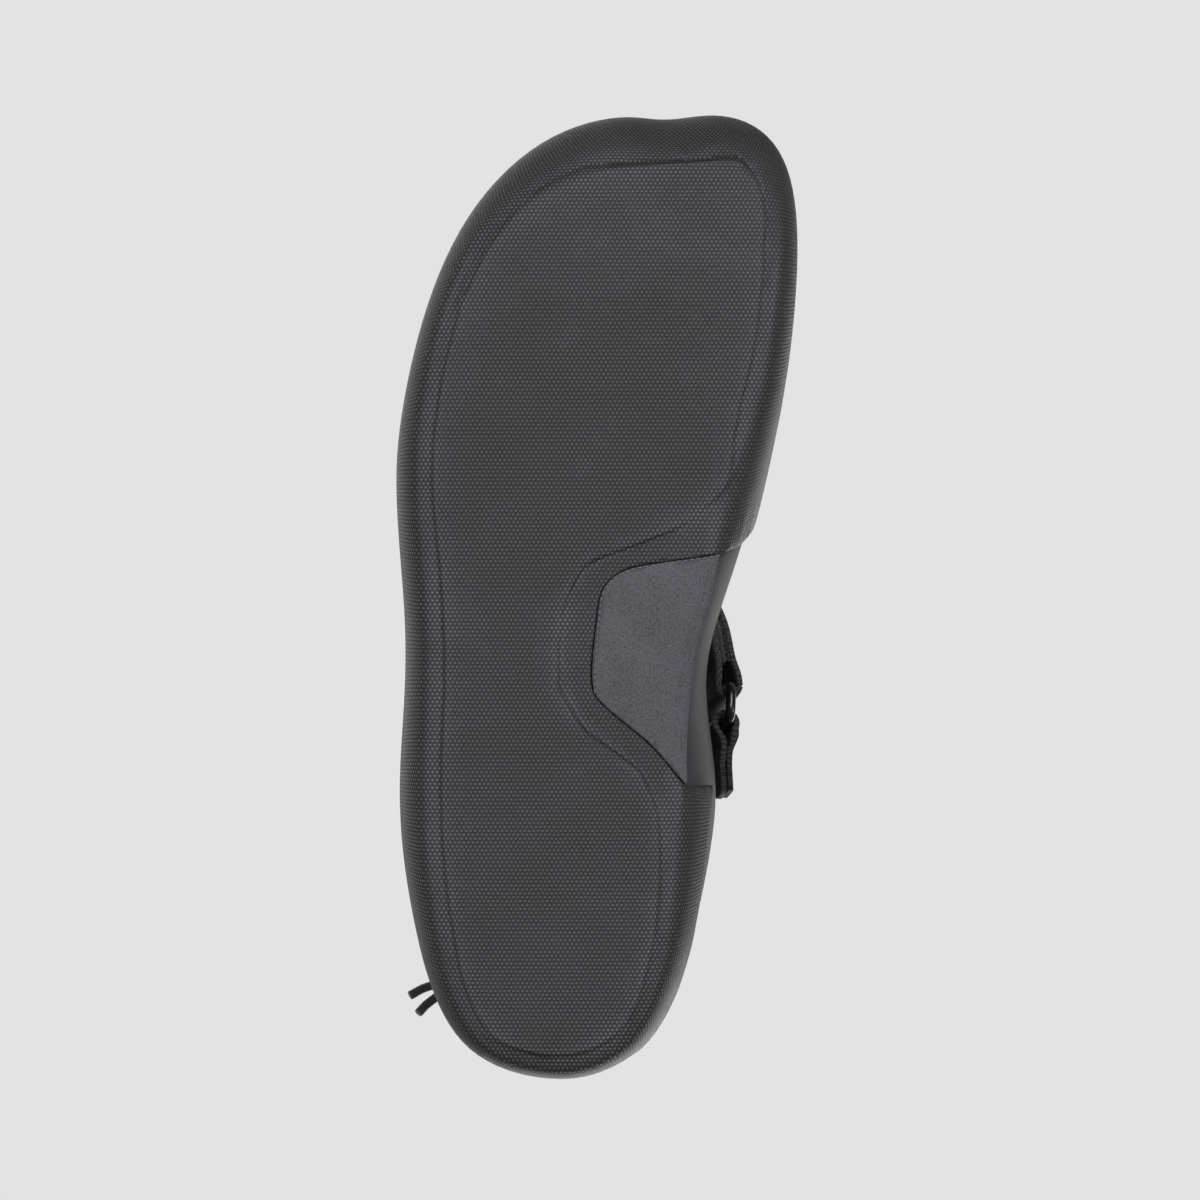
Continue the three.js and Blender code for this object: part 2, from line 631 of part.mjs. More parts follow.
function cordChannel() {
  const section = [
    [1.335, 0.6],
    [1.365, 5.2],
    [1.455, 5.2],
    [1.485, 0.6],
    [1.465, 0.6],
    [1.444, 4.2],
    [1.376, 4.2],
    [1.355, 0.6],
  ];
  const holes = EXITS.map((u) => toManifold(standing(new THREE.CylinderGeometry(3.2, 3.2, 16, 10), u, CORD.v)));
  return fromManifold(holes.reduce((solid, hole) => solid.subtract(hole), toManifold(hoop(section))));
}
add("cord_channel", cordChannel(), smoothSkin);

const eyeletSection = [
  [2.2, 4.1],
  [2.9, 4.1],
  [2.9, 5.5],
  [4.3, 5.5],
  [4.3, 6.3],
  [2.2, 6.3],
  [2.2, 4.1],
].map(([x, y]) => new THREE.Vector2(x, y));
EXITS.forEach((u, i) => {
  const name = ["eyelet_inner", "eyelet_outer"][i];
  add(name, standing(new THREE.LatheGeometry(eyeletSection, 12), u, CORD.v), steel);
});

// One elastic cord: out of one eyelet, through the lock to a cut end, and the same on the other side.
function drawcord() {
  const inChannel = (u) => layerPoint(u, CORD.v, CORD.height);
  const [first, second] = EXITS;
  const exit = (u, side) => [
    layerPoint(u + side * 0.002, CORD.v, 3),
    layerPoint(u, CORD.v, 4.5),
    layerPoint(u, CORD.v, 6.7),
  ];
  const run = (side, distance) =>
    LOCK.clone().addScaledVector(lockRun, distance).addScaledVector(lockSide, side * CORD.pitch);
  const hoopPoints = Array.from({ length: 33 }, (_, i) =>
    inChannel(THREE.MathUtils.lerp(first - 0.007, second + 0.007 - 1, i / 32)),
  );
  const outerTail = [new THREE.Vector3(51.3, -128.8, LOCK.z - 4), new THREE.Vector3(48.4, -126, LOCK.z - 1.5)];
  const innerTail = [new THREE.Vector3(49, -121.2, LOCK.z), new THREE.Vector3(54, -123.6, LOCK.z - 2)];
  return tube(
    [
      ...outerTail,
      ...[14, 8, 0, -8, -11].map((distance) => run(1, distance)),
      new THREE.Vector3(9.5, -137.6, LOCK.z),
      layerPoint(first, CORD.v, 8.9),
      ...exit(first, -1).toReversed(),
      ...hoopPoints,
      ...exit(second, 1),
      layerPoint(second + 0.002, CORD.v, 8.3),
      ...[-8, 0, 8, 14].map((distance) => run(-1, distance)),
      ...innerTail,
    ],
    CORD.radius,
    6,
    96,
  );
}
add("drawcord", drawcord(), elastic);

// ---------------------------------------------------------------- cord lock
const lock = new THREE.Group();
lock.position.copy(LOCK);
lock.rotation.z = Math.atan2(lockRun.y, lockRun.x);
boot.add(lock);
const BARREL = { radius: 6.4, low: -10.2, high: 4.8, bore: 5, floor: -9 };
const PLUNGER = { radius: 4.7, low: -3.4, high: 9.5, travel: 2.6 };

function upright(radius, low, high, sides = 16) {
  return toManifold(shaped(new THREE.CylinderGeometry(radius, radius, high - low, sides)))
    .rotate([90, 0, 0])
    .translate([0, 0, (low + high) / 2]);
}

function cordHole(y, radius) {
  const bar = toManifold(shaped(new THREE.CylinderGeometry(radius, radius, 30, 8)));
  return bar.rotate([0, 0, 90]).translate([0, y, 0]);
}

function lockBody() {
  const barrel = upright(BARREL.radius, BARREL.low, BARREL.high, 20).subtract(upright(BARREL.bore, BARREL.floor, 20));
  const holes = [-1, 1].map((side) => cordHole(side * CORD.pitch, 1.95));
  return fromManifold(barrel.subtract(holes[0]).subtract(holes[1]));
}
add("cord_lock_body", lockBody(), plastic, lock);

function lockPlunger() {
  const slot = shaped(new THREE.BoxGeometry(30, 8, 3.2 + PLUNGER.travel));
  const cut = toManifold(slot).translate([0, 0, PLUNGER.travel / 2 + 0.05]);
  return fromManifold(upright(PLUNGER.radius, PLUNGER.low, PLUNGER.high).subtract(cut));
}
add("cord_lock_plunger", lockPlunger(), plastic, lock);

function lockSpring() {
  const [turns, radius, wire] = [2.5, 3.4, 0.35];
  const low = BARREL.floor + wire + 0.1;
  const high = PLUNGER.low - wire - 0.1;
  const points = Array.from({ length: 26 }, (_, i) => {
    const angle = (2 * Math.PI * turns * i) / 25;
    const z = THREE.MathUtils.lerp(low, high, i / 25);
    return new THREE.Vector3(radius * Math.cos(angle), radius * Math.sin(angle), z);
  });
  return tube(points, wire, 4, 25);
}
add("cord_lock_spring", lockSpring(), steel, lock);

// ---------------------------------------------------------------- heel pull loop
// A webbing loop over the rear of the collar, with one leg outside and one inside the shaft.
function pullLoop() {
  const perMillimetre = 0.00295; // of the way round the boot, at the back of the collar
  const perV = 130; // millimetres of shaft for one of v, below the collar
  const line = [
    [1.9, -28],
    [1.9, -14],
    [1.9, 0],
    [3.2, 7],
    [2.6, 14],
    [-1.4, 18.5],
    [-5.4, 14],
    [-6, 7],
    [-4.7, 0],
    [-4.7, -12],
    [-4.7, -22],
  ];
  const path = new THREE.CatmullRomCurve3(line.map(([height, z]) => new THREE.Vector3(height, z, 0)));
  return slab(20, 3, (p) => {
    const at = path.getPoint(p.x + 0.5);
    const ahead = path.getTangent(p.x + 0.5);
    const height = at.x - ahead.y * p.z * 1.6;
    const z = at.y + ahead.x * p.z * 1.6;
    const u = p.y * 20 * perMillimetre;
    return layerPoint(u, 2 + Math.min(0, z) / perV, height).add(new THREE.Vector3(0, 0, Math.max(0, z)));
  });
}
add("pull_loop", pullLoop(), webbing);

export default boot;
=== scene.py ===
# A right-foot neoprene water sports boot, lying as it stands on its sole and seen from straight below.
# Metres, +Z up, +Y to the toe, +X to the outer side. It needs Blender 4.5 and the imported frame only.
import math

import bmesh
import bpy
from mathutils import Matrix, Vector
from mathutils.bvhtree import BVHTree


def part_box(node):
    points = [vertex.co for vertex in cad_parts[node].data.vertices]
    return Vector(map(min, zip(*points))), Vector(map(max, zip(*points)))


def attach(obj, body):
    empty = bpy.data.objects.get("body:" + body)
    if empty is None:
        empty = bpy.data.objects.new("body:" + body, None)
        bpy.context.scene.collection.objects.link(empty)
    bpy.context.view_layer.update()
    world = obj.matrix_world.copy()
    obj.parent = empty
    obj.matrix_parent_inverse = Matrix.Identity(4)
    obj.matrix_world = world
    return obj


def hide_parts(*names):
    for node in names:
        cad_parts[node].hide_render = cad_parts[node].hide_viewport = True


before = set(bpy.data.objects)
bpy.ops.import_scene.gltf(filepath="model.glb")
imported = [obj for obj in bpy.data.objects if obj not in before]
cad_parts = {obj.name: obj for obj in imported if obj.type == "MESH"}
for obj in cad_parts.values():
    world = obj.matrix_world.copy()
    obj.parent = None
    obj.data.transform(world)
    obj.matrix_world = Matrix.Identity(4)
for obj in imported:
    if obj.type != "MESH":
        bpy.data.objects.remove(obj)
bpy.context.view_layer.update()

# ---------------------------------------------------------------- camera
# A long lens looks straight up at the sole from a metre and a half below, with the toe at the top.
camera_data = bpy.data.cameras.new("camera")
camera_data.sensor_width = 36
camera_data.lens = 154.6
camera = bpy.data.objects.new("camera", camera_data)
bpy.context.scene.collection.objects.link(camera)
camera.matrix_world = Matrix.Translation((-0.00095, -0.00096, -1.485)) @ Matrix.Rotation(math.pi, 4, "Y")
bpy.context.scene.camera = camera

# ---------------------------------------------------------------- ankle drawcord
# A round elastic cord with a braided polyester cover. It runs round the ankle inside a channel, comes out
# of two eyelets at the heel, passes through the cord lock and ends in two heat-cut tails.
MM = 0.001
CORD_RADIUS = 1.4 * MM
CORD_PITCH = 2.2 * MM
LOCK = Vector((0.034215, -0.127935, 0.106574))
lock_run = Vector((0.868, 0.496, 0)).normalized()
lock_side = Vector((lock_run.y, -lock_run.x, 0))


def piece(name, mesh, material, body):
    """Puts a finished mesh in the scene as a piece that rides on a body and takes its finish from a slot."""
    made = bpy.data.objects.new(name, mesh)
    bpy.context.scene.collection.objects.link(made)
    mesh.materials.clear()
    mesh.materials.append(material)
    for face in mesh.polygons:
        face.use_smooth = True
    if body:
        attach(made, body)
    return made


def smooth_path(points, step):
    """A smooth line through a few points, as points about a step apart."""
    ends = [points[0] * 2 - points[1], *points, points[-1] * 2 - points[-2]]
    line = []
    for a, b, c, d in zip(ends, ends[1:], ends[2:], ends[3:]):
        count = max(2, round((c - b).length / step))
        for i in range(count):
            t = i / count
            bend = (2 * a - 5 * b + 4 * c - d) * t**2 + (3 * b - a - 3 * c + d) * t**3
            line.append(0.5 * (2 * b + (c - a) * t + bend))
    return [*line, points[-1]]


def sweep(bm, line, radius, sides=10):
    """Sweeps a capped round bar along a line, and writes how far along and which way round each vertex is."""
    along = bm.verts.layers.float.get("along") or bm.verts.layers.float.new("along")
    around = bm.verts.layers.float_vector.get("around") or bm.verts.layers.float_vector.new("around")
    up = Vector((0, 0, 1))
    turn = up.rotation_difference(line[1] - line[0])
    travelled = 0
    rims = []
    for i, point in enumerate(line):
        if i:
            travelled += (point - line[i - 1]).length
            turn = (turn @ up).rotation_difference(line[min(i + 1, len(line) - 1)] - line[i - 1]) @ turn
        place = Matrix.Translation(point) @ turn.to_matrix().to_4x4()
        capped = i in (0, len(line) - 1)
        circle = bmesh.ops.create_circle(bm, cap_ends=capped, radius=radius, segments=sides, matrix=place)
        ring = circle["verts"]
        for vertex in ring:
            vertex[along] = travelled
            vertex[around] = turn.inverted() @ (vertex.co - point) / radius
        rims.append(list({edge for vertex in ring for edge in vertex.link_edges}))
    for before, after in zip(rims, rims[1:]):
        bmesh.ops.bridge_loops(bm, edges=before + after)


def finished(bm, name, recalculate=True):
    """Turns a working mesh into a mesh with its faces pointing out."""
    if recalculate:
        bmesh.ops.recalc_face_normals(bm, faces=bm.faces)
    mesh = bpy.data.meshes.new(name)
    bm.to_mesh(mesh)
    bm.free()
    return mesh


def new_material(name, roughness, **sockets):
    """A new shader with its even values set on its own sockets."""
    material = bpy.data.materials.new(name)
    material.use_nodes = True
    shader = material.node_tree.nodes["Principled BSDF"]
    shader.inputs["Roughness"].default_value = roughness
    for socket, value in sockets.items():
        shader.inputs[socket.replace("_", " ")].default_value = value
    return material


def wire(material, kind, inputs=(), **settings):
    """Adds one node, with each of its inputs a number or the output of another node."""
    made = material.node_tree.nodes.new("ShaderNode" + kind)
    for name, value in settings.items():
        setattr(made, name, value)
    for name, value in dict(inputs).items():
        if isinstance(value, bpy.types.NodeSocket):
            material.node_tree.links.new(value, made.inputs[name])
        else:
            made.inputs[name].default_value = value
    return made.outputs[0]


def maths(material, operation, a, b=0.0, c=0.0):
    return wire(material, "Math", {0: a, 1: b, 2: c}, operation=operation)


def ramp(material, value, *stops):
    """A colour ramp through (position, colour) stops; a colour may be one grey number."""
    made = material.node_tree.nodes.new("ShaderNodeValToRGB")
    material.node_tree.links.new(value, made.inputs[0])
    elements = made.color_ramp.elements
    while len(elements) < len(stops):
        elements.new(0.5)
    for element, (position, colour) in zip(elements, stops):
        element.position = position
        element.color = (*((colour,) * 3 if isinstance(colour, (int, float)) else colour), 1)
    return made.outputs[0]


def shade(material, colour=None, bumps=(), roughness=None):
    """Links a colour, a roughness and any number of (height, distance, strength) bumps to the shader."""
    shader = material.node_tree.nodes["Principled BSDF"]
    if colour:
        material.node_tree.links.new(colour, shader.inputs["Base Color"])
    if roughness:
        material.node_tree.links.new(roughness, shader.inputs["Roughness"])
    normal = None
    for height, distance, strength in bumps:
        inputs = {"Height": height, "Distance": distance, "Strength": strength}
        if normal:
            inputs["Normal"] = normal
        normal = wire(material, "Bump", inputs)
    if normal:
        material.node_tree.links.new(normal, shader.inputs["Normal"])
    return material


def stored(material, name, output="Fac"):
    """A value that was stored on the piece's vertices."""
    node = material.node_tree.nodes.new("ShaderNodeAttribute")
    node.attribute_name = name
    return node.outputs[output]


def object_place(material):
    return material.node_tree.nodes.new("ShaderNodeTexCoord").outputs["Object"]


def clouds(material, place, scale, detail=3.0, roughness=0.55):
    """Soft random patches, as seen in dust, rub marks and uneven dye."""
    inputs = {"Vector": place, "Scale": scale, "Detail": detail, "Roughness": roughness}
    return wire(material, "TexNoise", inputs)


def linear(hex_colour):
    """A colour written as on a swatch card, as the numbers a shader takes."""
    parts = [int(hex_colour[i : i + 2], 16) / 255 for i in (1, 3, 5)]
    return tuple(c / 12.92 if c <= 0.04045 else ((c + 0.055) / 1.055) ** 2.4 for c in parts)


def braided_cover():
    """Sixteen strands laid both ways round the cord, dark with a few greyer picks."""
    material = new_material("braided_cover", 0.62, Sheen_Weight=0.3)
    along = stored(material, "along")
    split = material.node_tree.nodes.new("ShaderNodeSeparateXYZ")
    material.node_tree.links.new(stored(material, "around", "Vector"), split.inputs[0])
    angle = maths(material, "ARCTAN2", split.outputs["Y"], split.outputs["X"])
    turns = maths(material, "MULTIPLY", angle, 5.0)
    picks = maths(material, "MULTIPLY", along, 2 * math.pi / (1.15 * MM))
    left = maths(material, "SINE", maths(material, "ADD", picks, turns))
    right = maths(material, "SINE", maths(material, "SUBTRACT", picks, turns))
    strands = maths(material, "MULTIPLY_ADD", maths(material, "MAXIMUM", left, right), 0.5, 0.5)
    colour = ramp(material, strands, (0.25, linear("#0c0c0d")), (0.9, linear("#38383b")))
    return shade(material, colour, [(strands, 0.25 * MM, 0.9)])


cord_cover = braided_cover()


def cord_place(side, distance):
    return LOCK + lock_run * distance * MM + lock_side * side * CORD_PITCH


FIRST_EYELET = [Vector((0.00752, -0.13218, 0.106)), Vector((0.00757, -0.13458, 0.10590))]
SECOND_EYELET = [Vector((0.01967, -0.13008, 0.1064)), Vector((0.02027, -0.13177, 0.10629))]
outer_end = [
    *FIRST_EYELET,
    Vector((0.013115, -0.136935, LOCK.z)),
    *[cord_place(1, distance) for distance in (-11, -8, 0, 8, 14)],
    Vector((0.052015, -0.125335, LOCK.z - 0.0015)),
    Vector((0.054915, -0.128135, LOCK.z - 0.004)),
]
inner_end = [
    *SECOND_EYELET,
    *[cord_place(-1, distance) for distance in (-8, 0, 8, 14)],
    Vector((0.052615, -0.120535, LOCK.z)),
    Vector((0.057615, -0.122935, LOCK.z - 0.002)),
]
for name, points in (("drawcord_outer_end", outer_end), ("drawcord_inner_end", inner_end)):
    line = smooth_path(points, 1.2 * MM)
    bm = bmesh.new()
    sweep(bm, line, CORD_RADIUS, 14)
    cord_end = piece(name, finished(bm, name), cord_cover, "boot")

# The rest of the cord lies hidden in the channel round the ankle.
CHANNEL_ROUTE = [
    (0.00560, -0.12804, 0.10619), (-0.01142, -0.12022, 0.10727), (-0.02580, -0.09803, 0.11074),
    (-0.02863, -0.07717, 0.11429), (-0.02522, -0.05967, 0.11848), (-0.01767, -0.04777, 0.12268),
    (-0.00912, -0.04119, 0.12509), (-0.00153, -0.03879, 0.12618), (0.00769, -0.03671, 0.12693),
    (0.02259, -0.03849, 0.12588), (0.03339, -0.04590, 0.12374), (0.04266, -0.06072, 0.12034),
    (0.04550, -0.08482, 0.11530), (0.03764, -0.10969, 0.11014), (0.02067, -0.12525, 0.10685),
]
BEHIND_EYELETS = [Vector((0.00748, -0.13019, 0.10609)), Vector((0.01901, -0.1282, 0.10652))]
hidden_route = [BEHIND_EYELETS[0], *map(Vector, CHANNEL_ROUTE), BEHIND_EYELETS[1]]
bm = bmesh.new()
sweep(bm, smooth_path(hidden_route, 3 * MM), CORD_RADIUS, 10)
hidden_mesh = finished(bm, "drawcord_in_channel")
hidden_cord = piece("drawcord_in_channel", hidden_mesh, cord_cover, "boot")
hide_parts("drawcord")

# ---------------------------------------------------------------- moulded sole
# One cup of black rubber under the foot and part of the way up its sides, moulded with a fine all-over
# pattern of raised points and glued to the upper. A flat tread stands a little proud of it, and it is cut
# away under the arch.
KNURL_PITCH = 1.3 * MM
TREAD_HEIGHT = 2.3 * MM
WIDEST = 18 * MM  # height of the side wall's widest line
RIM_LEAN = 0.22  # how far over the tread's rim leans where its painted highlight is strongest, as the flat part of its direction


def node_copy(name):
    """A working copy of a CAD node, with its loose triangles joined up into larger faces."""
    bm = bmesh.new()
    bm.from_mesh(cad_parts[name].data)
    bmesh.ops.remove_doubles(bm, verts=bm.verts, dist=0.00002)
    bmesh.ops.dissolve_degenerate(bm, edges=bm.edges, dist=0.00001)
    return bm


def quads(bm):
    """Joins pairs of triangles into four-sided faces where the two lie almost flat."""
    bmesh.ops.join_triangles(bm, faces=bm.faces, angle_face_threshold=0.35, angle_shape_threshold=1.2)


def crease(bm, angle, amount=1.0, keep=lambda edge: True):
    """Keeps edges sharper than an angle crisp when the mesh is subdivided."""
    layer = bm.edges.layers.float.get("crease_edge") or bm.edges.layers.float.new("crease_edge")
    for edge in bm.edges:
        if len(edge.link_faces) == 2 and edge.calc_face_angle(0) > math.radians(angle) and keep(edge):
            edge[layer] = amount


def subdivided(made, levels):
    """Subdivides a piece for good, so that its mesh is the smooth surface itself."""
    modifier = made.modifiers.new("smooth", "SUBSURF")
    modifier.levels = modifier.render_levels = levels
    modifier.boundary_smooth = "ALL"
    graph = bpy.context.evaluated_depsgraph_get()
    mesh = bpy.data.meshes.new_from_object(made.evaluated_get(graph))
    made.modifiers.clear()
    made.data = mesh
    return made


def toe_lift(place):
    """How far the toe has risen off the ground at a point."""
    return max(0, place.y - 0.078) ** 2 * 2.4


def unrolled(made):
    """Stores on each vertex where it would lie if the wall were rolled flat round the sole, how much of a
    wall it is, for painted shade on the walls, and how much it is the tread's rim, for a painted highlight
    along it."""
    mesh = made.data
    kinds = {"wrap": "FLOAT_VECTOR", "wall": "FLOAT", "rim": "FLOAT"}
    for name, kind in kinds.items():
        mesh.attributes.new(name, kind, "POINT")
    layers = [mesh.attributes[name].data for name in kinds]
    for vertex, place, wall_shade, rim_highlight in zip(mesh.vertices, *layers):
        side = Vector((vertex.normal.x, vertex.normal.y, 0))
        steep = min(side.length / 0.6, 1.0)
        rise = max(0, vertex.co.z - 4 * MM) + 0.6 * max(0, vertex.co.z - WIDEST)
        place.vector = vertex.co + (side.normalized() if steep > 0.05 else side) * rise * steep
        # Painted shade: the more upright the surface, the darker it is painted.
        wall_shade.value = min(1, max(0, (side.length - 0.25) / 0.5))
        # Painted highlight: the tread's rim is painted paler where it leans over.
        low = vertex.co.z < TREAD_HEIGHT + 0.3 * MM + toe_lift(vertex.co) and vertex.normal.z < 0
        rim_highlight.value = max(0, 1 - abs(side.length - RIM_LEAN) / 0.2) if low else 0


def hexagon_points(material, place, pitch, turn=0.0):
    """Raised points in a honeycomb, from three waves laid across each other."""
    waves = []
    for k in range(3):
        angle = turn + k * math.pi / 3
        size = 4 * math.pi / (math.sqrt(3) * pitch)
        direction = (math.cos(angle) * size, math.sin(angle) * size, 0)
        travel = material.node_tree.nodes.new("ShaderNodeVectorMath")
        travel.operation = "DOT_PRODUCT"
        material.node_tree.links.new(place, travel.inputs[0])
        travel.inputs[1].default_value = direction
        waves.append(maths(material, "COSINE", travel.outputs["Value"]))
    total = maths(material, "ADD", maths(material, "ADD", waves[0], waves[1]), waves[2])
    return maths(material, "MULTIPLY_ADD", total, 1 / 4.5, 1 / 3)


def knurled_rubber():
    """Charcoal rubber, slightly purple, its hollows painted darker as shade and its points paler as
    highlight; the points are also shinier.
    """
    material = new_material("knurled_rubber", 0.5, Specular_IOR_Level=0.55)
    points = hexagon_points(material, stored(material, "wrap", "Vector"), KNURL_PITCH, math.radians(30))
    patches = clouds(material, object_place(material), 38.0)
    grain = clouds(material, object_place(material), 2600.0, 2.0)
    # Painted highlight and shade on the knurl: the points are painted paler and the hollows darker. The grain
    # adds uneven tone.
    relief_and_grain = maths(material, "MULTIPLY_ADD", grain, 0.5, points)
    colour = ramp(
        material,
        maths(material, "MULTIPLY_ADD", patches, 0.22, maths(material, "MULTIPLY_ADD", relief_and_grain, 0.6, 0.06)),
        (0.22, linear("#1b1a1d")),
        (0.6, linear("#454347")),
        (0.92, linear("#737077")),
    )
    # Painted shade darkens the walls, and a painted highlight lightens the tread's rim.
    painted_light = maths(material, "MULTIPLY_ADD", stored(material, "wall"), -0.3, 0.8)
    # Painted highlight along the tread's rim.
    painted_light = maths(material, "MULTIPLY_ADD", stored(material, "rim"), 0.5, painted_light)
    colour = wire(material, "VectorMath", {0: colour, 1: painted_light}, operation="MULTIPLY")
    roughness = ramp(material, relief_and_grain, (0.1, 0.72), (0.95, 0.42))
    bumps = [(points, 0.35 * MM, 0.85), (grain, 0.08 * MM, 0.5)]
    return shade(material, colour, bumps, roughness)


def soft_copy(name, node, material, body, levels=2, sharp=38, hard=1.0, keep=lambda edge: True):
    """A smooth piece made from a CAD node: joined, creased at its cut edges and subdivided."""
    bm = node_copy(node)
    quads(bm)
    crease(bm, sharp, hard, keep)
    made = piece(name, finished(bm, name, recalculate=False), material, None)
    subdivided(made, levels)
    for face in made.data.polygons:
        face.use_smooth = True
    if body:
        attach(made, body)
    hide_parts(node)
    return made


def cut_edge(edge):
    """True away from the tread's own rim, which is moulded as a soft step and not cut."""
    return all(not -0.75 < face.normal.z < -0.12 for face in edge.link_faces)


def soften_step(made):
    """Rounds the low step round the tread by evening out heights underfoot, away from the cut edges."""
    bm = bmesh.new()
    bm.from_mesh(made.data)
    bm.normal_update()
    underneath = []
    for vertex in bm.verts:
        cut = any(abs(face.normal.z) < 0.1 for face in vertex.link_faces)
        low = vertex.co.z < TREAD_HEIGHT + toe_lift(vertex.co)
        if vertex.normal.z < -0.05 and low and not cut:
            underneath.append(vertex)
    for _ in range(30):
        bmesh.ops.smooth_vert(bm, verts=underneath, factor=0.5, use_axis_z=True)
    bm.to_mesh(made.data)
    bm.free()


sole_rubber = knurled_rubber()
sole = soft_copy("moulded_sole", "outsole", sole_rubber, "boot", keep=cut_edge)
soften_step(sole)
unrolled(sole)

# ---------------------------------------------------------------- arch panel
# A thinner panel of paler, finely pebbled rubber that fills the cut-away under the arch and climbs the
# inner side. It is glued on, and a row of small lock stitches runs round its edge.
STITCH_LENGTH = 1.1 * MM
STITCH_GAP = 1.9 * MM
ARCH_EDGE = [
    (-44.0, 14.4), (-35.8, 12.0), (-18.4, 9.4), (-8.4, 7.2), (-2.4, 2.2), (-0.6, -7.6), (0.6, -26.2),
    (-1.6, -31.6), (-16.6, -44.2), (-25.8, -54.6),
]


def pebbled_rubber():
    """Purple-grey rubber with a fine leather-like pebble."""
    material = new_material("pebbled_rubber", 0.5, Specular_IOR_Level=0.4)
    place = object_place(material)
    warp = clouds(material, place, 420.0, 2.0)
    pebbles = wire(
        material,
        "TexVoronoi",
        {"Vector": place, "Scale": 1750.0, "Randomness": 0.8, "Smoothness": 0.6},
        feature="SMOOTH_F1",
    )
    height = maths(material, "MULTIPLY_ADD", pebbles, -1.4, 1.0)
    patches = clouds(material, place, 45.0)
    mix = maths(material, "MULTIPLY_ADD", height, 0.45, maths(material, "MULTIPLY", patches, 0.5))
    colour = ramp(material, mix, (0.2, linear("#48474e")), (0.75, linear("#6f6d76")))
    return shade(material, colour, [(height, 0.12 * MM, 0.8), (warp, 0.08 * MM, 0.3)])


def thread_finish(name, colour):
    """Bonded polyester thread, with its twist."""
    material = new_material(name, 0.45, Sheen_Weight=0.2)
    turns = maths(material, "MULTIPLY", stored(material, "along"), 2 * math.pi / (0.4 * MM))
    twist = maths(material, "SINE", turns)
    twist = maths(material, "MULTIPLY_ADD", twist, 0.5, 0.5)
    dark = tuple(c * 0.55 for c in linear(colour))
    shown = ramp(material, twist, (0.1, dark), (0.9, linear(colour)))
    return shade(material, shown, [(twist, 0.05 * MM, 0.6)])


def surface_of(*pieces):
    """A search tree over finished pieces, to lay stitches on."""
    vertices, faces = [], []
    for made in pieces:
        start = len(vertices)
        vertices += [v.co.copy() for v in made.data.vertices]
        faces += [[start + i for i in face.vertices] for face in made.data.polygons]
    return BVHTree.FromPolygons(vertices, faces)


def evenly(line, gap):
    """Points an even gap apart along a line, each with its direction."""
    placed, left = [], 0.0
    for a, b in zip(line, line[1:]):
        length = (b - a).length
        while left < length:
            placed.append((a.lerp(b, left / length), (b - a).normalized()))
            left += gap
        left -= length
    return placed


def stitch(bm, start, end, normal, radius):
    """One stitch: a short thread that rises out of the cloth and goes back in."""
    middle = (start + end) / 2 + normal * radius * 0.9
    low = normal * radius * -0.7
    sweep(bm, [start + low, start.lerp(middle, 0.6), middle, end.lerp(middle, 0.6), end + low], radius, 6)


arch_rubber = pebbled_rubber()
arch = soft_copy("arch_panel_skin", "arch_panel", arch_rubber, "boot")
pale_thread = thread_finish("pale_thread", "#8d8b93")
arch_surface = surface_of(arch)
bm = bmesh.new()
arch_line = smooth_path([Vector((x * MM, y * MM, -0.005)) for x, y in ARCH_EDGE], 1 * MM)
for place, ahead in evenly(arch_line, STITCH_GAP):
    hit, normal, _, _ = arch_surface.ray_cast(place, Vector((0, 0, 1)), 0.05)
    if hit:
        half = ahead * STITCH_LENGTH / 2
        stitch(bm, hit - half, hit + half, normal, 0.2 * MM)
piece("arch_panel_stitches", finished(bm, "arch_panel_stitches"), pale_thread, "boot")

# ---------------------------------------------------------------- neoprene upper
# Three-millimetre foamed rubber with knitted nylon on both faces, cut in six panels and a small divider for
# the toe. The panels are drawn tight over the last when they are sewn, so they stand as a shell when empty.
def knitted_neoprene():
    """Matt charcoal jersey with fine wales, slightly uneven where it is drawn over the foot."""
    sockets = {"Sheen_Weight": 0.12, "Sheen_Roughness": 0.5, "Specular_IOR_Level": 0.3}
    material = new_material("knitted_neoprene", 0.8, **sockets)
    place = object_place(material)
    split = material.node_tree.nodes.new("ShaderNodeSeparateXYZ")
    material.node_tree.links.new(place, split.inputs[0])
    wander = clouds(material, place, 60.0, 2.0)
    wales = maths(material, "MULTIPLY_ADD", split.outputs["X"], 2 * math.pi / (0.8 * MM), wander)
    climb = maths(material, "MULTIPLY", split.outputs["Z"], 2 * math.pi / (0.7 * MM))
    reach = maths(material, "MULTIPLY_ADD", split.outputs["Y"], 2 * math.pi / (0.7 * MM), climb)
    knit = maths(material, "MULTIPLY", maths(material, "SINE", wales), maths(material, "SINE", reach))
    knit = maths(material, "MULTIPLY_ADD", knit, 0.5, 0.5)
    patches = clouds(material, place, 26.0, 4.0)
    fuzz = clouds(material, place, 3200.0, 2.0)
    mix = maths(material, "MULTIPLY_ADD", knit, 0.25, maths(material, "MULTIPLY_ADD", fuzz, 0.35, patches))
    colour = ramp(material, mix, (0.45, linear("#29292c")), (0.95, linear("#4a4a4e")))
    bumps = [(knit, 0.12 * MM, 0.6), (fuzz, 0.06 * MM, 0.4), (patches, 1.5 * MM, 0.3)]
    return shade(material, colour, bumps)


neoprene = knitted_neoprene()
PANELS = [
    "vamp", "quarter_lateral", "quarter_medial", "shaft_front", "shaft_rear", "bottom_panel", "toe_divider",
]
upper = [soft_copy(f"{name}_panel", name, neoprene, "boot") for name in PANELS]

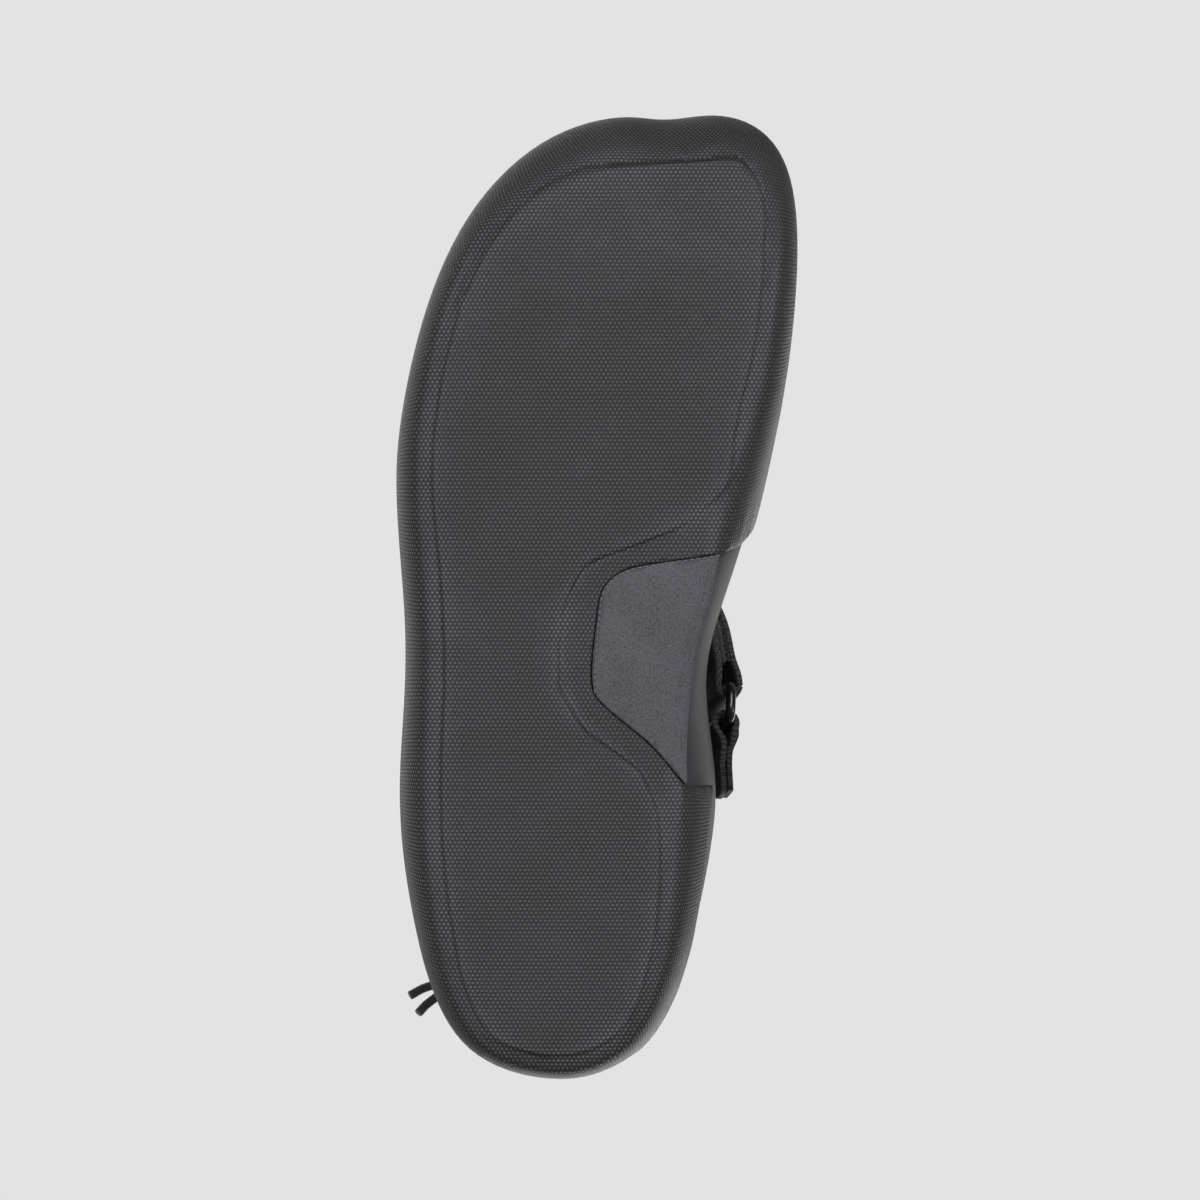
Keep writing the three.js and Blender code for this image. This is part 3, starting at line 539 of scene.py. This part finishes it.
# ---------------------------------------------------------------- seams
# The panels are sewn edge to edge with a flat cover stitch: needle thread zigzags across the joint and
# holds both edges down, so the seam lies flat against the foot.
SEAMS = [
    ("toe_seam_lateral", "vamp", "quarter_lateral"),
    ("toe_seam_medial", "vamp", "quarter_medial"),
    ("heel_seam", "quarter_lateral", "quarter_medial"),
    ("shaft_seam_lateral", "shaft_front", "shaft_rear"),
]
SEAM_WIDTH = 4.2 * MM
SEAM_PITCH = 1.7 * MM
PANEL_GAP = 0.75 * MM
CHAIN_REACH = 34 * MM
LEG_MIDDLE = Vector((0.009, -0.083, 0))


def outward_at(place):
    """The direction from the middle of the foot or leg out to a point."""
    if place.z > 0.1:
        return Vector((place.x - LEG_MIDDLE.x, place.y - LEG_MIDDLE.y, 0)).normalized()
    return Vector((place.x * 1.6, min(0, place.y + 0.09), place.z - 0.03)).normalized()


def shared_edge(first, second):
    """The outer line along which two panels meet, as chains of points with their outward directions."""
    bm = node_copy(second)
    near = BVHTree.FromBMesh(bm)
    bm.free()
    bm = node_copy(first)
    bm.normal_update()
    pairs = []
    for vertex in bm.verts:
        away = outward_at(vertex.co)
        outer = [face.normal for face in vertex.link_faces if face.normal.dot(away) > 0.45]
        if outer and (near.find_nearest(vertex.co)[3] or 1) < PANEL_GAP:
            pairs.append((vertex.co.copy(), sum(outer, Vector()).normalized()))
    bm.free()
    chains = []
    while pairs:
        start = min(pairs, key=lambda p: p[0].z)
        pairs.remove(start)
        chain = [start]
        while pairs:
            nearest = min(pairs, key=lambda p: (p[0] - chain[-1][0]).length)
            if (nearest[0] - chain[-1][0]).length > CHAIN_REACH:
                break
            pairs.remove(nearest)
            chain.append(nearest)
        if len(chain) > 2:
            chains.append(chain)
    return chains


def cover_stitch(name, chain, surface):
    """Zigzag thread over a seam, laid on the panels' finished surface."""
    line = smooth_path([p for p, _ in chain], 1 * MM)
    bm = bmesh.new()
    path = []
    for i, (place, ahead) in enumerate(evenly(line, SEAM_PITCH / 2)):
        outward = min(chain, key=lambda p: (p[0] - place).length)[1]
        side = outward.cross(ahead).normalized() * (SEAM_WIDTH / 2 if i % 2 else -SEAM_WIDTH / 2)
        hit, normal, _, _ = surface.ray_cast(place + side + outward * 4 * MM, -outward, 8 * MM)
        if hit:
            path.append(hit + normal * 0.12 * MM)
    if len(path) < 4:
        bm.free()
        return None
    sweep(bm, path, 0.28 * MM, 5)
    return piece(name, finished(bm, name), dark_thread, "boot")


dark_thread = thread_finish("dark_thread", "#4a4a4e")
upper_surface = surface_of(*upper)
for name, first, second in SEAMS:
    for number, chain in enumerate(shared_edge(first, second)):
        cover_stitch(f"{name}_{number}" if number else name, chain, upper_surface)

# ---------------------------------------------------------------- footbed
# A loose insole of closed-cell foam faced with jersey, moulded a little hollow under the heel.
def insole_cloth():
    """Grey brushed jersey with a fine all-over dimple from the moulding."""
    material = new_material("insole_cloth", 0.9, Sheen_Weight=0.3)
    place = object_place(material)
    dimples = hexagon_points(material, place, 4.2 * MM)
    fuzz = clouds(material, place, 2600.0, 3.0)
    mix = maths(material, "MULTIPLY_ADD", dimples, 0.35, maths(material, "MULTIPLY", fuzz, 0.5))
    colour = ramp(material, mix, (0.15, linear("#2a2a2e")), (0.75, linear("#454549")))
    return shade(material, colour, [(dimples, 0.4 * MM, 0.6), (fuzz, 0.1 * MM, 0.5)])


footbed = soft_copy("foam_footbed", "footbed", insole_cloth(), "boot")

# ---------------------------------------------------------------- webbing and binding
# Flat nylon webbing 24 mm wide makes the strap and the ring's tab, a narrower one the heel loop, and a
# folded binding tape finishes the collar. All are sewn on.
def flat_cut(made, sharp=50):
    """Lays a piece's faces out flat, as the strip was cut, in metres with its length along the map's X."""
    mesh = made.data
    mesh.uv_layers.new(name="cut")
    bm = bmesh.new()
    bm.from_mesh(mesh)
    for edge in bm.edges:
        edge.seam = len(edge.link_faces) == 2 and edge.calc_face_angle(0) > math.radians(sharp)
    bm.to_mesh(mesh)
    bm.free()
    bpy.context.view_layer.objects.active = made
    bpy.ops.object.mode_set(mode="EDIT")
    bpy.ops.mesh.select_all(action="SELECT")
    bpy.ops.uv.unwrap(method="ANGLE_BASED", margin=0.001)
    bpy.ops.object.mode_set(mode="OBJECT")
    bm = bmesh.new()
    bm.from_mesh(mesh)
    layer = bm.loops.layers.uv["cut"]
    waiting = set(bm.faces)
    while waiting:
        island, reached = [], [waiting.pop()]
        while reached:
            face = reached.pop()
            island.append(face)
            for edge in face.edges:
                if not edge.seam:
                    for other in edge.link_faces:
                        if other in waiting:
                            waiting.remove(other)
                            reached.append(other)
        straighten(island, layer)
    bm.to_mesh(mesh)
    bm.free()


def straighten(island, layer):
    """Scales one flat island to metres and turns its longer direction along X."""
    loops = [loop for face in island for loop in face.loops]
    middle = sum((loop[layer].uv for loop in loops), Vector((0, 0))) / len(loops)
    flat_area = 0.0
    for face in island:
        corners = [loop[layer].uv for loop in face.loops]
        flat_area += abs(sum(a.x * b.y - b.x * a.y for a, b in zip(corners, corners[1:] + corners[:1]))) / 2
    scale = math.sqrt(sum(face.calc_area() for face in island) / max(flat_area, 1e-12))
    spread = [loop[layer].uv - middle for loop in loops]
    xx, yy, xy = (sum(p[i] * p[j] for p in spread) for i, j in ((0, 0), (1, 1), (0, 1)))
    turn = Matrix.Rotation(-0.5 * math.atan2(2 * xy, xx - yy), 2)
    for loop, offset in zip(loops, spread):
        loop[layer].uv = turn @ offset * scale


def cut_place(material):
    return wire(material, "UVMap", uv_map="cut")


def woven_webbing(name, dark, pale, rib=1.5 * MM):
    """Plain-woven nylon: thick ribs across the strip, each crossed by paired fine ends."""
    material = new_material(name, 0.72, Sheen_Weight=0.2, Specular_IOR_Level=0.35)
    split = material.node_tree.nodes.new("ShaderNodeSeparateXYZ")
    material.node_tree.links.new(cut_place(material), split.inputs[0])
    ends = maths(material, "SINE", maths(material, "MULTIPLY", split.outputs["Y"], 2 * math.pi / (1.1 * MM)))
    lifted = maths(material, "MULTIPLY", ends, 1.4)
    picks = maths(material, "MULTIPLY_ADD", split.outputs["X"], 2 * math.pi / rib, lifted)
    weave = maths(material, "MULTIPLY_ADD", maths(material, "SINE", picks), 0.5, 0.5)
    fuzz = clouds(material, object_place(material), 3000.0, 2.0)
    mix = maths(material, "MULTIPLY_ADD", weave, 0.6, maths(material, "MULTIPLY", fuzz, 0.4))
    colour = ramp(material, mix, (0.2, linear(dark)), (0.85, linear(pale)))
    return shade(material, colour, [(weave, 0.3 * MM, 0.8), (fuzz, 0.08 * MM, 0.5)])


webbing = woven_webbing("woven_webbing", "#1c1c1f", "#48484d")
binding = woven_webbing("binding_tape", "#19191b", "#3a3a3e", 0.9 * MM)
strips = {}
for name, node, material, body in (
    ("strap_on_instep", "instep_strap", webbing, "boot"),
    ("strap_free_end", "strap_tail", webbing, "strap_end"),
    ("ring_tab_webbing", "ring_tab", webbing, "boot"),
    ("heel_pull_loop", "pull_loop", webbing, "boot"),
    ("collar_binding", "collar_band", binding, "boot"),
):
    strips[name] = soft_copy(name, node, material, body)
    flat_cut(strips[name])


def lay_straight(made, along, across):
    """Runs the weave of a nearly flat strip in one straight direction."""
    mesh = made.data
    for loop in mesh.loops:
        place = mesh.vertices[loop.vertex_index].co
        mesh.uv_layers["cut"].data[loop.index].uv = (place.dot(along), place.dot(across))


BESIDE_RING = Vector((0, 0.955, 0.297)), Vector((0.171, -0.292, 0.941))
lay_straight(strips["strap_free_end"], *BESIDE_RING)
lay_straight(strips["ring_tab_webbing"], *BESIDE_RING)
lay_straight(strips["heel_pull_loop"], Vector((0, 0, 1)), Vector((1, 0, 0)))

# The binding is folded over the raw edge of the shaft and covers its top few millimetres. Its weave runs
# straight round the leg.
BINDING_LAP = 3 * MM
COLLAR_RADIUS = 40 * MM
COLLAR_MIDDLE = Vector((0.007, -0.084, 0))
band = strips["collar_binding"].data
for face in band.polygons:
    corners = [band.vertices[i].co - COLLAR_MIDDLE for i in face.vertices]
    turns = [math.atan2(corner.y, corner.x) for corner in corners]
    for loop, corner, turn in zip(face.loop_indices, corners, turns):
        turn += math.tau if turn < 0 and max(turns) - turn > math.pi else 0
        place = (turn * COLLAR_RADIUS, corner.z + math.hypot(corner.y, corner.x))
        band.uv_layers["cut"].data[loop].uv = place
band_middle = (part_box("collar_band")[0][2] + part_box("collar_band")[1][2]) / 2
for vertex in band.vertices:
    if vertex.co.z < band_middle:
        vertex.co.z -= BINDING_LAP

# ---------------------------------------------------------------- hook and loop
# The strap closes on itself: a brushed loop pad is sewn on the lower run and a hook pad under the end.
def brushed_loop():
    """Deep black fuzzy loop pile."""
    sockets = {"Sheen_Weight": 0.5, "Sheen_Roughness": 0.6, "Specular_IOR_Level": 0.2}
    material = new_material("brushed_loop", 0.95, **sockets)
    place = object_place(material)
    pile = clouds(material, place, 1500.0, 6.0, 0.7)
    tufts = clouds(material, place, 300.0, 3.0)
    mix = maths(material, "MULTIPLY_ADD", pile, 0.7, maths(material, "MULTIPLY", tufts, 0.3))
    colour = ramp(material, mix, (0.3, linear("#0b0b0c")), (0.75, linear("#29292c")))
    return shade(material, colour, [(pile, 0.5 * MM, 0.9), (tufts, 0.7 * MM, 0.5)])


def moulded_hooks():
    """Stiff nylon tape with rows of small hooks."""
    material = new_material("moulded_hooks", 0.45)
    place = object_place(material)
    hooks = hexagon_points(material, place, 1.4 * MM, 0.3)
    colour = ramp(material, hooks, (0.3, linear("#0c0c0e")), (0.9, linear("#333338")))
    return shade(material, colour, [(hooks, 0.6 * MM, 1.0)])


soft_copy("loop_pad", "loop_patch", brushed_loop(), "boot")
soft_copy("hook_pad", "hook_patch", moulded_hooks(), "strap_end")

# ---------------------------------------------------------------- smooth-skin patches
# The strap's fixed end is held down by a heat-pressed patch of smooth-skin rubber, and a tunnel of the same
# sheet is glued and sewn round the ankle for the drawcord.
def smooth_skin():
    """Soft black rubber skin with a faint fine grain."""
    material = new_material("smooth_skin", 0.5, Specular_IOR_Level=0.45)
    place = object_place(material)
    grain = clouds(material, place, 1800.0, 4.0)
    marks = clouds(material, place, 55.0, 4.0)
    mix = maths(material, "MULTIPLY_ADD", marks, 0.7, maths(material, "MULTIPLY", grain, 0.3))
    colour = ramp(material, mix, (0.3, linear("#1e1e20")), (0.7, linear("#353538")))
    roughness = ramp(material, mix, (0.3, 0.62), (0.7, 0.42))
    return shade(material, colour, [(grain, 0.08 * MM, 0.6), (marks, 0.5 * MM, 0.2)], roughness)


skin = smooth_skin()
soft_copy("strap_anchor_patch", "strap_anchor", skin, "boot")
soft_copy("drawcord_channel", "cord_channel", skin, "boot")

# ---------------------------------------------------------------- ring, cord lock and eyelets
# The strap turns back round a moulded nylon ring. The cord lock is a nylon barrel with a sprung plunger,
# and each eyelet is a rolled brass ring with a dark nickel finish.
def moulded_nylon():
    """Glossy black nylon with a faint flow texture and fine scuffs."""
    material = new_material("moulded_nylon", 0.2, Specular_IOR_Level=0.6)
    place = object_place(material)
    flow = clouds(material, place, 160.0, 3.0)
    scuffs = clouds(material, place, 1400.0, 5.0, 0.7)
    colour = ramp(material, flow, (0.3, linear("#08080a")), (0.75, linear("#141417")))
    roughness = ramp(material, scuffs, (0.35, 0.14), (0.7, 0.34))
    return shade(material, colour, [(scuffs, 0.03 * MM, 0.4)], roughness)


def rolled_metal():
    """Dark nickel over brass, brushed round by handling."""
    material = new_material("rolled_metal", 0.3, Metallic=1.0)
    place = object_place(material)
    scuffs = clouds(material, place, 900.0, 5.0, 0.7)
    colour = ramp(material, scuffs, (0.3, linear("#6d6e72")), (0.75, linear("#a9abb0")))
    roughness = ramp(material, scuffs, (0.3, 0.42), (0.7, 0.22))
    return shade(material, colour, [(scuffs, 0.03 * MM, 0.5)], roughness)


nylon = moulded_nylon()
metal = rolled_metal()
soft_copy("strap_ring_moulding", "strap_ring", nylon, "ring", levels=3, sharp=80)
soft_copy("cord_lock_barrel", "cord_lock_body", nylon, "cord_lock", hard=0.8)
soft_copy("cord_lock_button", "cord_lock_plunger", nylon, "plunger", hard=0.8)
for node in ("eyelet_inner", "eyelet_outer"):
    soft_copy(f"{node}_ring", node, metal, "boot", sharp=60, hard=0.6)
for material_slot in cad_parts["cord_lock_spring"].material_slots:
    material_slot.material = metal

# ---------------------------------------------------------------- studio
# A pale floor under the boot that shows only from above, so that the sole can be seen from below, large
# soft lamps under it, and even light from high windows above it.
def floor_paint():
    """Matt pale grey that lets a view from underneath pass."""
    material = bpy.data.materials.new("floor_paint")
    material.use_nodes = True
    tree = material.node_tree
    shader = tree.nodes["Principled BSDF"]
    shader.inputs["Base Color"].default_value = (0.77, 0.77, 0.77, 1)
    shader.inputs["Roughness"].default_value = 0.9
    clear = tree.nodes.new("ShaderNodeBsdfTransparent")
    facing = tree.nodes.new("ShaderNodeNewGeometry")
    choice = tree.nodes.new("ShaderNodeMixShader")
    tree.links.new(facing.outputs["Backfacing"], choice.inputs[0])
    tree.links.new(shader.outputs[0], choice.inputs[1])
    tree.links.new(clear.outputs[0], choice.inputs[2])
    tree.links.new(choice.outputs[0], tree.nodes["Material Output"].inputs[0])
    return material


bm = bmesh.new()
bmesh.ops.create_grid(bm, x_segments=1, y_segments=1, size=3)
bmesh.ops.translate(bm, vec=(0, 0, -0.0004), verts=bm.verts)
floor = bpy.data.objects.new("floor", finished(bm, "floor", recalculate=False))
bpy.context.scene.collection.objects.link(floor)
floor.data.materials.append(floor_paint())
floor.visible_shadow = False
floor.visible_diffuse = False
floor.visible_glossy = False

world = bpy.data.worlds.new("studio")
world.use_nodes = True
background = world.node_tree.nodes["Background"]
background.inputs["Color"].default_value = (0.767, 0.767, 0.767, 1)
seen = world.node_tree.nodes.new("ShaderNodeLightPath")
direction = world.node_tree.nodes.new("ShaderNodeTexCoord")
split = world.node_tree.nodes.new("ShaderNodeSeparateXYZ")
dim = world.node_tree.nodes.new("ShaderNodeMapRange")
dim.inputs["From Min"].default_value = -0.4
dim.inputs["From Max"].default_value = 0.7
dim.inputs["To Min"].default_value = 0.16
dim.inputs["To Max"].default_value = 0.45
strength = world.node_tree.nodes.new("ShaderNodeMapRange")
strength.inputs["To Max"].default_value = 1.0
world.node_tree.links.new(direction.outputs["Generated"], split.inputs[0])
world.node_tree.links.new(split.outputs["Z"], dim.inputs["Value"])
world.node_tree.links.new(seen.outputs["Is Camera Ray"], strength.inputs["Value"])
world.node_tree.links.new(dim.outputs["Result"], strength.inputs["To Min"])
world.node_tree.links.new(strength.outputs["Result"], background.inputs["Strength"])
bpy.context.scene.world = world
bpy.context.scene.view_settings.view_transform = "Standard"


def aimed(name, data, place, target):
    """Puts a light in the scene, pointing at a target."""
    made = bpy.data.objects.new(name, data)
    bpy.context.scene.collection.objects.link(made)
    aim = (Vector(target) - Vector(place)).to_track_quat("-Z", "Y")
    made.matrix_world = Matrix.Translation(place) @ aim.to_matrix().to_4x4()


def lamp(name, place, target, size, watts):
    """A square soft box that points at a target."""
    data = bpy.data.lights.new(name, "AREA")
    data.size = size
    data.energy = watts
    aimed(name, data, place, target)


def daylight(name, place, strength, spread):
    """An even light from high windows, the same all over the floor."""
    data = bpy.data.lights.new(name, "SUN")
    data.energy = strength
    data.angle = math.radians(spread)
    aimed(name, data, place, (0, 0, 0))


lamp("sole_key", (-0.5, 0.65, -1.2), (0, 0, 0.02), 0.6, 9)
lamp("sole_fill", (0.7, -0.2, -1.2), (0, 0, 0.02), 0.6, 7)
lamp("inner_side", (-1.3, -0.2, -0.55), (-0.03, -0.05, 0.04), 0.45, 3)
daylight("window_light", (-0.6, -1.0, 2.2), 1.5, 50)
daylight("far_window_light", (1.1, 0.9, 1.6), 1.1, 70)
